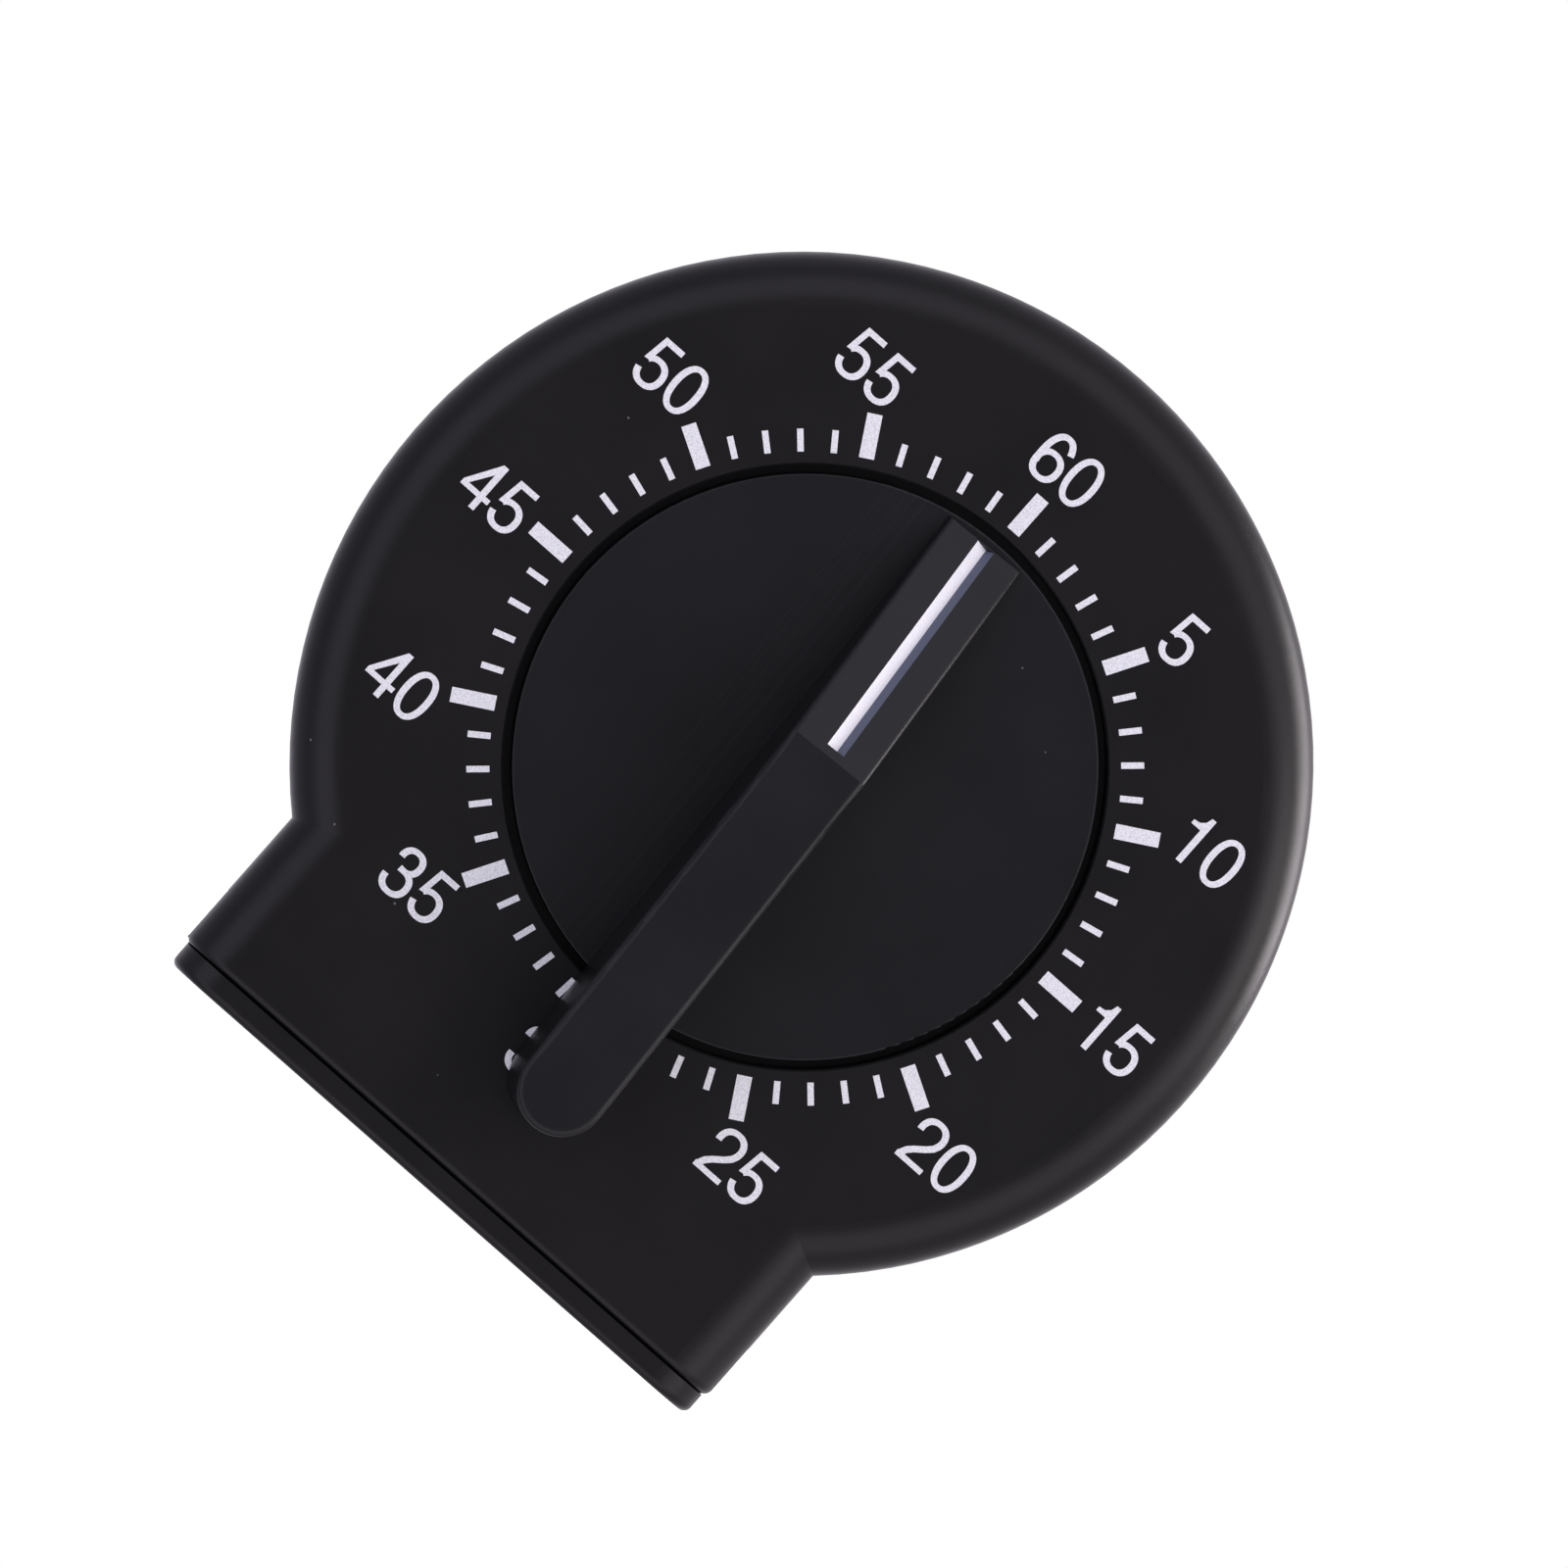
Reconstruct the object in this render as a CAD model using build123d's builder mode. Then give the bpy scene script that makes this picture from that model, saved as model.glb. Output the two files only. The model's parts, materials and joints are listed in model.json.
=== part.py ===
from build123d import *
from math import acos, cos, pi, radians, sin, tan
import os

# Mechanical kitchen timer. Millimetres. X right, Y to the back, Z up.
# The origin is the centre of the foot; the dial faces -Y and turns about an axis along Y.

# --- body ---
DIAL_HEIGHT = 44.2
OUTLINE_R = 40.1
OUTLINE_NECK_HALF = 27.2
FACE_Y = -15.0
SPLIT_Y = 8.0
BACK_Y = 15.0
DRAFT_DEG = 4.0
WALL = 2.0
FACE_WALL = 2.2
BACK_WALL = 1.6
SHOULDER_R = 4.3
BACK_EDGE_R = 2.0
FOOT_EDGE_R = 0.8
PLATE_T = 2.0
SHOULDER_LOSS = SHOULDER_R * (tan(radians(DRAFT_DEG)) + 1 / cos(radians(DRAFT_DEG)) - 1)
BODY_R = OUTLINE_R + SHOULDER_LOSS
NECK_HALF = OUTLINE_NECK_HALF + SHOULDER_LOSS
PLATE_INSET = 0.05
PLATE_CORNER_R = 0.7
PAD_T = 0.8
PAD_SIZE = (36.0, 20.0)
PAD_CORNER_R = 3.0
PAD_GAP = 0.05

# --- dial knob ---
WELL_R = 23.65
WELL_DEPTH = 3.2
WELL_WALL = 1.6
KNOB_R = 22.95
KNOB_T = 2.6
REST_TURN_DEG = 2.5
BAR_W = 7.2
BAR_NOSE = 22.3
BAR_NOSE_H = 0.7
RAMP_END = 1.8
RAMP_H = 11.0
TAIL_END = -34.9
TAIL_MID_H = 12.9
TAIL_H = 14.0
TAIL_LIFT = 0.8
BAR_EDGE_R = 0.55
LINE_W = 1.6
LINE_SHIFT = 0.1
LINE_SUNK = 0.9
LINE_FOLD = 0.2
LINE_FOLD_DEPTH = 0.5
HUB_R = 4.0
HUB_BACK_Y = -10.5
CLIP_R = 3.0
CLIP_MOUTH = (2.4, 4.0)
BUSH_R = 2.6
BUSH_FRONT_Y = FACE_Y + 1.0
BUSH_FLOOR_Y = FACE_Y + 1.8

# --- movement levels along Y ---
CAM_Y = (-9.5, -8.3)
FRONT_PLATE_Y = (-7.4, -6.2)
SPRING_Y = (-5.7, -1.7)
MAIN_WHEEL_Y = (-1.1, 0.1)
RATCHET_Y = (0.3, 1.3)
SECOND_WHEEL_Y = (1.9, 2.7)
THIRD_WHEEL_Y = (3.5, 4.3)
REAR_PLATE_Y = (5.4, 6.6)
HAIR_Y = (6.8, 7.3)
DETENT_HAIR_Y = (-7.9, -7.5)
HAMMER_Y = (7.6, 8.4)
BELL_RIM_Y = 9.0
BELL_ROOF_Y = 12.6
STAFF_Y = (-5.9, 5.1)
FRONT_PIVOT_Y = -7.2
REAR_PIVOT_Y = 6.4
SECOND_PINION_Y = (-1.5, 0.5)
THIRD_PINION_Y = (1.5, 3.1)
ESCAPE_PINION_Y = (3.2, 4.6)
BALANCE_Y = (3.4, 4.4)
CLIP_Y = (-8.1, -7.6)
ARBOR_COLLAR_Y = (-6.0, -1.3)
REAR_SHOULDER_Y = 5.2
ARBOR_BACK_Y = 6.7

# --- fits ---
RUN = 0.05
PRESS = 0.02
JOIN = 0.5

# --- movement ---
FRONT_PLATE_R = 28.0
REAR_PLATE_R = 27.3
EAR_RING_R = 29.5
EAR_ANGLES = (90, 210, 330)
PILLAR_RING_R = 25.0
PILLAR_ANGLES = (70, 160, 275, 345)
PILLAR_R = 1.9
ARBOR_R = 1.5
STAFF_R = 0.9
PIVOT_R = 0.5
COLLAR_R = 2.5
MAIN_TEETH = 48
MAIN_MODULE = 0.55
SECOND_LEAVES = 8
SECOND_TEETH = 42
SECOND_MODULE = 0.45
THIRD_LEAVES = 7
THIRD_TEETH = 42
THIRD_MODULE = 0.4
ESCAPE_LEAVES = 7
ESCAPE_TEETH = 15
ESCAPE_R = 6.0
RATCHET_TEETH = 12
RATCHET_R = 5.0
RATCHET_ROOT_R = 4.0
CAM_R = 6.5
CAM_NOTCH_R = 1.4
DETENT_ANGLE = 75
STAR_POINTS = 6
STAR_R = 3.2
STAR_ROOT_R = 1.9
BELL_R = 20.0
BELL_WALL = 0.8
BELL_TURN_R = 2.3

SECOND_DIST = MAIN_MODULE * (MAIN_TEETH + SECOND_LEAVES) / 2
THIRD_DIST = SECOND_MODULE * (SECOND_TEETH + THIRD_LEAVES) / 2
ESCAPE_DIST = THIRD_MODULE * (THIRD_TEETH + ESCAPE_LEAVES) / 2
VERGE_DIST = 9.4
SECOND_ANGLE = 235
THIRD_ANGLE = 150
ESCAPE_ANGLE = 80
VERGE_ANGLE = 60


def step_from(point, distance, angle):
    return (point[0] + distance * cos(radians(angle)), point[1] + distance * sin(radians(angle)))


# Places in the dial's plane, measured from the dial axis: to the right and up.
CENTRE = (0.0, 0.0)
SECOND = step_from(CENTRE, SECOND_DIST, SECOND_ANGLE)
THIRD = step_from(SECOND, THIRD_DIST, THIRD_ANGLE)
ESCAPE = step_from(THIRD, ESCAPE_DIST, ESCAPE_ANGLE)
VERGE = step_from(ESCAPE, VERGE_DIST, VERGE_ANGLE)
BELL_POST = (9.0, 0.0)
HAMMER_PIVOT = (-2.64, -16.24)
HAMMER_TIP = (-6.53, -5.41)
DETENT_PIVOT = (-6.0, 10.4)
DETENT_NOSE = step_from(CENTRE, CAM_R + 0.9, DETENT_ANGLE)
PILLARS = [step_from(CENTRE, PILLAR_RING_R, a) for a in PILLAR_ANGLES]
EARS = [step_from(CENTRE, EAR_RING_R, a) for a in EAR_ANGLES]
UPPER_SCREW_RING_R = 34.2
COVER_SCREWS = [step_from(CENTRE, UPPER_SCREW_RING_R, a) for a in (50, 130)] + [(21.2, -35.2), (-21.2, -35.2)]
FRONT_FOOT_SCREWS = [(22.3, -10.6), (-22.3, -10.6)]
BACK_FOOT_SCREWS = [(21.0, 11.2), (-21.0, 11.2)]
DIAL_AXIS = Axis((0, 0, DIAL_HEIGHT), (0, 1, 0))


def facing(y):
    """The plane across the dial axis at depth y as the dial's reader sees it: X right, Y up, out towards -Y."""
    return Plane(origin=(0, y, DIAL_HEIGHT), x_dir=(1, 0, 0), z_dir=(0, -1, 0))


def wall_inset(y):
    """How far the drafted side walls have come in at depth y."""
    return (y - FACE_Y) * tan(radians(DRAFT_DEG))


def turned(steps, at=CENTRE, mode=Mode.ADD):
    """Coaxial discs along the dial axis' direction: each step is (front, back, radius)."""
    for front, back, radius in steps:
        with BuildSketch(facing(back)) as disc:
            with Locations(at):
                Circle(radius)
        extrude(disc.sketch, amount=back - front, mode=mode)


def drill(span, radius, places):
    for place in places:
        turned([(span[0], span[1], radius)], place, Mode.SUBTRACT)


def tooth_ring(teeth, root_r, profile, turn=0.0):
    """A closed outline of teeth. The profile lists (radius, half thickness) from root to tip."""
    points = []
    for i in range(teeth):
        middle = radians(turn) + 2 * pi * i / teeth
        right = [(root_r, profile[0])] + profile[1:]
        for radius, half in right:
            points.append((radius * cos(middle - half / radius), radius * sin(middle - half / radius)))
        for radius, half in reversed(right):
            points.append((radius * cos(middle + half / radius), radius * sin(middle + half / radius)))
    return points


def wheel_teeth(teeth, module, turn=0.0):
    pitch_r = module * teeth / 2
    profile = [0.30 * pi * module, (pitch_r, 0.20 * pi * module), (pitch_r + 0.9 * module, 0.07 * pi * module)]
    return tooth_ring(teeth, pitch_r - 1.25 * module, profile, turn)


def pinion_leaves(teeth, module, turn=0.0):
    pitch_r = module * teeth / 2
    profile = [0.20 * pi * module, (pitch_r, 0.15 * pi * module), (pitch_r + 0.6 * module, 0.08 * pi * module)]
    return tooth_ring(teeth, pitch_r - 1.3 * module, profile, turn)


def saw_teeth(teeth, tip_r, root_r, turn=0.0):
    """Teeth with a radial face, whose backs slope down clockwise."""
    points = []
    for i in range(teeth):
        face = radians(turn) + 2 * pi * i / teeth
        points.append((tip_r * cos(face), tip_r * sin(face)))
        points.append((root_r * cos(face), root_r * sin(face)))
    return points


def flat_ring(span, outline, at, bore_r, windows=0, window_r=1.0, window_ring=1.0):
    """A toothed or plain wheel cut from sheet: outline, bore and round windows."""
    with BuildSketch(facing(span[1])) as blank:
        with Locations(at):
            Polygon(*outline, align=None)
            Circle(bore_r, mode=Mode.SUBTRACT)
            if windows:
                with PolarLocations(window_ring, windows, start_angle=45):
                    Circle(window_r, mode=Mode.SUBTRACT)
    extrude(blank.sketch, amount=span[1] - span[0])


def arm(start, start_r, end, end_r):
    """A sketch of two circles wrapped by their outer tangents."""
    run = Vector(end[0] - start[0], end[1] - start[1])
    along = run.get_signed_angle(Vector(1, 0, 0), Vector(0, 0, -1))
    spread = acos((start_r - end_r) / run.length)
    corners = []
    for place, radius, side in ((start, start_r, 1), (end, end_r, 1), (end, end_r, -1), (start, start_r, -1)):
        angle = radians(along) + side * spread
        corners.append((place[0] + radius * cos(angle), place[1] + radius * sin(angle)))
    Polygon(*corners, align=None)
    for place, radius in ((start, start_r), (end, end_r)):
        with Locations(place):
            Circle(radius)


def lever(span, circles, pivot, bore_r):
    """A flat arm that wraps each neighbouring pair of (place, radius), drilled at its pivot."""
    with BuildSketch(facing(span[1])) as blank:
        for (start, start_r), (end, end_r) in zip(circles[:-1], circles[1:]):
            arm(start, start_r, end, end_r)
        with Locations(pivot):
            Circle(bore_r, mode=Mode.SUBTRACT)
    extrude(blank.sketch, amount=span[1] - span[0])


def coil_end_r(inner_r, pitch, turns):
    """Where the middle of a coiled strip ends, measured from its centre."""
    return inner_r + (2 * turns - 1) * pitch / 2 + pitch / 4


def coiled_strip(span, inner_r, pitch, turns, thickness, at, turn=0.0):
    """A flat coiled strip whose half turns are arcs about two centres half a pitch apart."""
    with BuildSketch(facing(span[1])) as coil:
        for half in range(2 * turns):
            radius = inner_r + half * pitch / 2
            side = 1 if half % 2 else -1
            shift = side * pitch / 4
            centre = (at[0] + shift * cos(radians(turn)), at[1] + shift * sin(radians(turn)))
            with BuildLine():
                outer = CenterArc(centre, radius + thickness / 2, turn, side * 180)
                inner = CenterArc(centre, radius - thickness / 2, turn, side * 180)
                Line(outer @ 0, inner @ 0)
                Line(outer @ 1, inner @ 1)
            make_face()
    extrude(coil.sketch, amount=span[1] - span[0])


def neck_block(front, back, inset=0.0, front_r=0.0, back_r=0.0, foot_z=PLATE_T, mode=Mode.ADD):
    """The drafted neck from its foot up to the dial axis, set in from the outer skin."""
    front_half = NECK_HALF - inset - wall_inset(front)
    back_half = NECK_HALF - inset - wall_inset(back)
    with BuildSketch(Plane.XY.offset(foot_z)) as neck:
        Polygon((-front_half, front), (front_half, front), (back_half, back), (-back_half, back), align=None)
        rows = neck.vertices().group_by(Axis.Y)
        if front_r:
            fillet(rows[0], front_r)
        if back_r:
            fillet(rows[-1], back_r)
    extrude(neck.sketch, amount=DIAL_HEIGHT - foot_z, mode=mode)


def disc_block(front, back, inset=0.0, front_r=0.0, back_r=0.0, mode=Mode.ADD):
    """The drafted round body about the dial axis, set in from the outer skin."""
    top_front = DIAL_HEIGHT + BODY_R - inset - wall_inset(front)
    top_back = DIAL_HEIGHT + BODY_R - inset - wall_inset(back)
    with BuildSketch(Plane.YZ) as half_disc:
        Polygon((front, DIAL_HEIGHT), (back, DIAL_HEIGHT), (back, top_back), (front, top_front), align=None)
        rim = half_disc.vertices().filter_by(lambda v: v.Y > DIAL_HEIGHT + 1).sort_by(Axis.X)
        if front_r:
            fillet(rim[0], front_r)
        if back_r:
            fillet(rim[-1], back_r)
    revolve(half_disc.sketch, axis=DIAL_AXIS, mode=mode)


def body_block(front, back, inset, foot_z=PLATE_T, mode=Mode.ADD, **corners):
    """The timer's outline: the disc on its neck."""
    neck_block(front, back, inset, foot_z=foot_z, mode=mode, **corners)
    disc_block(front, back, inset, mode=mode, **corners)


def posts(places, radius, low, high, mode=Mode.ADD):
    """Upright bosses or holes at (x, y) places."""
    with BuildSketch(Plane.XY.offset(low)) as tops:
        with Locations(*places):
            Circle(radius)
    extrude(tops.sketch, amount=high - low, mode=mode)


def cut_slots(plane, places, length, width, depth):
    """Screwdriver slots cut from a plane into the heads at the given places."""
    with BuildSketch(plane) as slots:
        with Locations(*places):
            Rectangle(length, width)
    extrude(slots.sketch, amount=depth, mode=Mode.SUBTRACT)


def staff(place, back_pivot=(REAR_PIVOT_Y, PIVOT_R)):
    """A train staff: its body and the thinner pivot at each end. back_pivot is (end, radius)."""
    turned([(*STAFF_Y, STAFF_R), (FRONT_PIVOT_Y, STAFF_Y[0], PIVOT_R), (STAFF_Y[1], *back_pivot)], place)


def pinion(span, leaves, at):
    """A leaved pinion on a staff. leaves is its closed outline."""
    with BuildSketch(facing(span[1])) as blank:
        with Locations(at):
            Polygon(*leaves, align=None)
    extrude(blank.sketch, amount=span[1] - span[0])


def save(builder, name):
    builder.part.label = name
    export_step(builder.part, f"parts/{name}.step")


os.makedirs("parts", exist_ok=True)

# ---------------------------------------------------------------- case

BOSS_R = 2.8
MOVEMENT_BOSS_R = 2.6
FOOT_BOSS_R = 2.6
FOOT_BOSS_L = 6.5
FOOT_HOLE_L = 5.5
BACK_BOSS_R = 2.4
BACK_BOSS_L = 4.5
BACK_HOLE_L = 3.8
COVER_TUBE_R = 3.2
COVER_HOLE_L = 10.0
COVER_SCREW_L = 9.0
BASE_SCREW_L = 3.5
THREAD_R = 1.0
SHANK_R = 0.95
CLEAR_R = 1.3
HEAD_R = 2.0
HEAD_T = 1.0
HEAD_WELL_R = 2.4
HEAD_SUNK = 0.1
HEAD_SEAT_Y = SPLIT_Y + 3.0
CROSS_SLOT = (2.4, 0.5, 0.6)
LIP_GAP = 0.15
LIP_T = 1.0
LIP_L = 1.5
RIB_SIZE = (34.0, 1.2)
RIB_H = 1.8
SOUND_SLOTS = 5
SOUND_SLOT_SIZE = (24.0, 1.8)
SOUND_SLOT_PITCH = 4.5
HUB_HOLE_R = HUB_R + 0.6
THROUGH = 1.0
FACE_INNER_Y = FACE_Y + FACE_WALL
WELL_FLOOR_Y = FACE_Y + WELL_DEPTH
WELL_BACK_Y = WELL_FLOOR_Y + WELL_WALL
BACK_INNER_Y = BACK_Y - BACK_WALL
EDGE_BREAK = 0.15

with BuildPart() as front_shell:
    neck_block(FACE_Y, SPLIT_Y, front_r=SHOULDER_R)
    foot_edges = front_shell.faces().sort_by(Axis.Z)[0].edges().sort_by(Axis.Y)[:-1]
    fillet(foot_edges, FOOT_EDGE_R)
    disc_block(FACE_Y, SPLIT_Y, front_r=SHOULDER_R)
    body_block(FACE_INNER_Y, SPLIT_Y + THROUGH, WALL, front_r=SHOULDER_R - WALL, foot_z=0, mode=Mode.SUBTRACT)
    turned([(FACE_INNER_Y - JOIN, WELL_BACK_Y, WELL_R + WELL_WALL)])
    for place in EARS:
        turned([(FACE_INNER_Y - JOIN, FRONT_PLATE_Y[0], MOVEMENT_BOSS_R)], place)
    for place in COVER_SCREWS:
        turned([(FACE_INNER_Y - JOIN, SPLIT_Y, BOSS_R)], place)
    posts(FRONT_FOOT_SCREWS, FOOT_BOSS_R, PLATE_T, PLATE_T + FOOT_BOSS_L)
    turned([(FACE_Y - THROUGH, WELL_FLOOR_Y, WELL_R), (FACE_Y, WELL_BACK_Y, HUB_HOLE_R)], mode=Mode.SUBTRACT)
    drill((FACE_INNER_Y, FRONT_PLATE_Y[0]), THREAD_R, EARS)
    drill((SPLIT_Y - COVER_HOLE_L, SPLIT_Y), THREAD_R, COVER_SCREWS)
    posts(FRONT_FOOT_SCREWS, THREAD_R, PLATE_T, PLATE_T + FOOT_HOLE_L, Mode.SUBTRACT)
    with BuildSketch(Plane.YZ) as mouth:
        Polygon(
            (FACE_Y - THROUGH, DIAL_HEIGHT), (FACE_Y - THROUGH, DIAL_HEIGHT + WELL_R + EDGE_BREAK + THROUGH),
            (FACE_Y + EDGE_BREAK, DIAL_HEIGHT + WELL_R), (FACE_Y + EDGE_BREAK, DIAL_HEIGHT), align=None,
        )
    revolve(mouth.sketch, axis=DIAL_AXIS, mode=Mode.SUBTRACT)
save(front_shell, "front_shell")

with BuildPart() as rear_cover:
    body_block(SPLIT_Y, BACK_Y, 0, back_r=BACK_EDGE_R)
    body_block(SPLIT_Y, BACK_INNER_Y, WALL, foot_z=0, mode=Mode.SUBTRACT)
    body_block(SPLIT_Y - LIP_L, SPLIT_Y + JOIN, WALL + LIP_GAP)
    body_block(SPLIT_Y - LIP_L, BACK_INNER_Y, WALL + LIP_GAP + LIP_T, foot_z=0, mode=Mode.SUBTRACT)
    drill((SPLIT_Y - LIP_L, SPLIT_Y), BOSS_R + LIP_GAP, COVER_SCREWS)
    for place in COVER_SCREWS:
        turned([(SPLIT_Y, BACK_INNER_Y + JOIN, COVER_TUBE_R)], place)
    posts(BACK_FOOT_SCREWS, BACK_BOSS_R, PLATE_T, PLATE_T + BACK_BOSS_L)
    drill((SPLIT_Y, BACK_Y), CLEAR_R, COVER_SCREWS)
    drill((HEAD_SEAT_Y, BACK_Y), HEAD_WELL_R, COVER_SCREWS)
    posts(BACK_FOOT_SCREWS, THREAD_R, PLATE_T, PLATE_T + BACK_HOLE_L, Mode.SUBTRACT)
    with BuildSketch(facing(BACK_Y)):
        with Locations(BELL_POST):
            with GridLocations(SOUND_SLOT_PITCH, SOUND_SLOT_PITCH, 1, SOUND_SLOTS):
                SlotOverall(*SOUND_SLOT_SIZE)
    extrude(amount=BACK_WALL, mode=Mode.SUBTRACT)
save(rear_cover, "rear_cover")

with BuildPart() as base_plate:
    with BuildSketch() as plate_outline:
        front_half = OUTLINE_NECK_HALF - PLATE_INSET
        back_half = OUTLINE_NECK_HALF - wall_inset(BACK_Y) - PLATE_INSET
        front_edge, back_edge = FACE_Y + PLATE_INSET, BACK_Y - PLATE_INSET
        Polygon(
            (-front_half, front_edge), (front_half, front_edge),
            (back_half, back_edge), (-back_half, back_edge), align=None,
        )
        fillet(plate_outline.vertices().group_by(Axis.Y)[0], SHOULDER_R - PLATE_INSET)
        fillet(plate_outline.vertices().group_by(Axis.Y)[-1], BACK_EDGE_R)
    extrude(amount=PLATE_T)
    fillet(base_plate.faces().sort_by(Axis.Z)[0].edges(), PLATE_CORNER_R)
    with BuildSketch():
        RectangleRounded(*PAD_SIZE, PAD_CORNER_R)
    extrude(amount=PAD_T, mode=Mode.SUBTRACT)
    with BuildSketch(Plane.XY.offset(PLATE_T)):
        rib_inset = LIP_GAP + RIB_SIZE[1] / 2
        with Locations((0, FACE_INNER_Y + rib_inset), (0, BACK_INNER_Y - rib_inset)):
            Rectangle(*RIB_SIZE)
    extrude(amount=RIB_H)
    posts(FRONT_FOOT_SCREWS + BACK_FOOT_SCREWS, CLEAR_R, 0, PLATE_T, Mode.SUBTRACT)
    posts(FRONT_FOOT_SCREWS + BACK_FOOT_SCREWS, HEAD_WELL_R, 0, HEAD_T + HEAD_SUNK, Mode.SUBTRACT)
save(base_plate, "base_plate")

with BuildPart() as foot_pad:
    with BuildSketch():
        RectangleRounded(PAD_SIZE[0] - 2 * PAD_GAP, PAD_SIZE[1] - 2 * PAD_GAP, PAD_CORNER_R - PAD_GAP)
    extrude(amount=PAD_T)
save(foot_pad, "foot_pad")

with BuildPart() as cover_screws:
    head_back_y = HEAD_SEAT_Y + HEAD_T
    for place in COVER_SCREWS:
        turned([(SPLIT_Y - COVER_SCREW_L, HEAD_SEAT_Y, SHANK_R), (HEAD_SEAT_Y, head_back_y, HEAD_R)], place)
    cut_slots(facing(head_back_y), COVER_SCREWS, *CROSS_SLOT)
    cut_slots(facing(head_back_y), COVER_SCREWS, CROSS_SLOT[1], CROSS_SLOT[0], CROSS_SLOT[2])
save(cover_screws, "cover_screws")

with BuildPart() as base_screws:
    places = FRONT_FOOT_SCREWS + BACK_FOOT_SCREWS
    head_top_z = HEAD_SUNK + HEAD_T
    posts(places, HEAD_R, HEAD_SUNK, head_top_z)
    posts(places, SHANK_R, head_top_z, PLATE_T + BASE_SCREW_L)
    cut_slots(Plane.XY.offset(HEAD_SUNK), places, *CROSS_SLOT)
    cut_slots(Plane.XY.offset(HEAD_SUNK), places, CROSS_SLOT[1], CROSS_SLOT[0], CROSS_SLOT[2])
save(base_screws, "base_screws")

# ---------------------------------------------------------------- movement frame

REAR_ARBOR_R = 1.0
STRIKE_ARBOR_R = 0.6
STAFF_BUSHES = [(place, PIVOT_R, 1.4) for place in (THIRD, ESCAPE, VERGE)]
BUSHES = [(CENTRE, ARBOR_R, 3.0), (SECOND, PIVOT_R, 1.4)] + STAFF_BUSHES
REAR_BUSHES = [(CENTRE, REAR_ARBOR_R, 2.6), (SECOND, STRIKE_ARBOR_R, 1.5)] + STAFF_BUSHES
SPRING_COIL = (3.3, 1.1, 6)
HAIR_COIL = (1.9, 0.6, 3)
SPRING_T = 0.4
HAIR_T = 0.2
PEG_R = 0.4
WIRE_R = 0.15
SPRING_POST_R = 1.0
SPRING_TURN = 20
HAMMER_HAIR_TURN = 300
DETENT_HAIR_TURN = 150
SPRING_POST = step_from(CENTRE, coil_end_r(*SPRING_COIL) + SPRING_T / 2 + SPRING_POST_R + PRESS, SPRING_TURN)
PEG_REACH = coil_end_r(*HAIR_COIL) + HAIR_T / 2 + PEG_R + PRESS
HAMMER_PEG = step_from(HAMMER_PIVOT, PEG_REACH, HAMMER_HAIR_TURN)
DETENT_PEG = step_from(DETENT_PIVOT, PEG_REACH, DETENT_HAIR_TURN)
EAR_PAD_R = 3.0
EAR_SLOT = (3.0, 0.5, 0.5)
WINDOW_R = 4.5
PLATE_WINDOW = (14.0, -14.0)
PILLAR_HEAD_L = 0.2
NUT_R = 2.1
NUT_T = 1.2

with BuildPart() as front_plate:
    turned([(*FRONT_PLATE_Y, FRONT_PLATE_R)])
    for place in EARS:
        turned([(*FRONT_PLATE_Y, EAR_PAD_R)], place)
    drill(FRONT_PLATE_Y, CLEAR_R, EARS)
    drill(FRONT_PLATE_Y, THREAD_R, PILLARS)
    for place, pivot_r, bush_r in BUSHES:
        drill(FRONT_PLATE_Y, bush_r + PRESS, [place])
    drill(FRONT_PLATE_Y, WINDOW_R, [PLATE_WINDOW])
save(front_plate, "front_plate")

with BuildPart() as rear_plate:
    turned([(*REAR_PLATE_Y, REAR_PLATE_R)])
    drill(REAR_PLATE_Y, THREAD_R, PILLARS)
    for place, pivot_r, bush_r in REAR_BUSHES:
        drill(REAR_PLATE_Y, bush_r + PRESS, [place])
    drill(REAR_PLATE_Y, WINDOW_R, [PLATE_WINDOW])
save(rear_plate, "rear_plate")

with BuildPart() as plate_bushes:
    for span, bushes in ((FRONT_PLATE_Y, BUSHES), (REAR_PLATE_Y, REAR_BUSHES)):
        for place, pivot_r, bush_r in bushes:
            turned([(*span, bush_r)], place)
            drill(span, pivot_r + RUN, [place])
save(plate_bushes, "plate_bushes")

with BuildPart() as pillars:
    for place in PILLARS:
        turned([(FRONT_PLATE_Y[1], REAR_PLATE_Y[0], PILLAR_R)], place)
        turned([(FRONT_PLATE_Y[0] - PILLAR_HEAD_L, REAR_PLATE_Y[1] + NUT_T + PILLAR_HEAD_L, SHANK_R)], place)
save(pillars, "pillars")

with BuildPart() as pillar_nuts:
    with BuildSketch(facing(REAR_PLATE_Y[1] + NUT_T)):
        with Locations(*PILLARS):
            RegularPolygon(NUT_R, 6)
            Circle(THREAD_R, mode=Mode.SUBTRACT)
    extrude(amount=NUT_T)
save(pillar_nuts, "pillar_nuts")

with BuildPart() as movement_screws:
    for place in EARS:
        turned([(FACE_INNER_Y + THROUGH, FRONT_PLATE_Y[1], SHANK_R)], place)
        turned([(FRONT_PLATE_Y[1], FRONT_PLATE_Y[1] + HEAD_T, HEAD_R)], place)
    cut_slots(facing(FRONT_PLATE_Y[1] + HEAD_T), EARS, *EAR_SLOT)
save(movement_screws, "movement_screws")

with BuildPart() as mainspring:
    coiled_strip(SPRING_Y, *SPRING_COIL, SPRING_T, CENTRE, SPRING_TURN)
save(mainspring, "mainspring")

with BuildPart() as spring_post:
    turned([(FRONT_PLATE_Y[1], SPRING_Y[1], SPRING_POST_R)], SPRING_POST)
save(spring_post, "spring_post")

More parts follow.
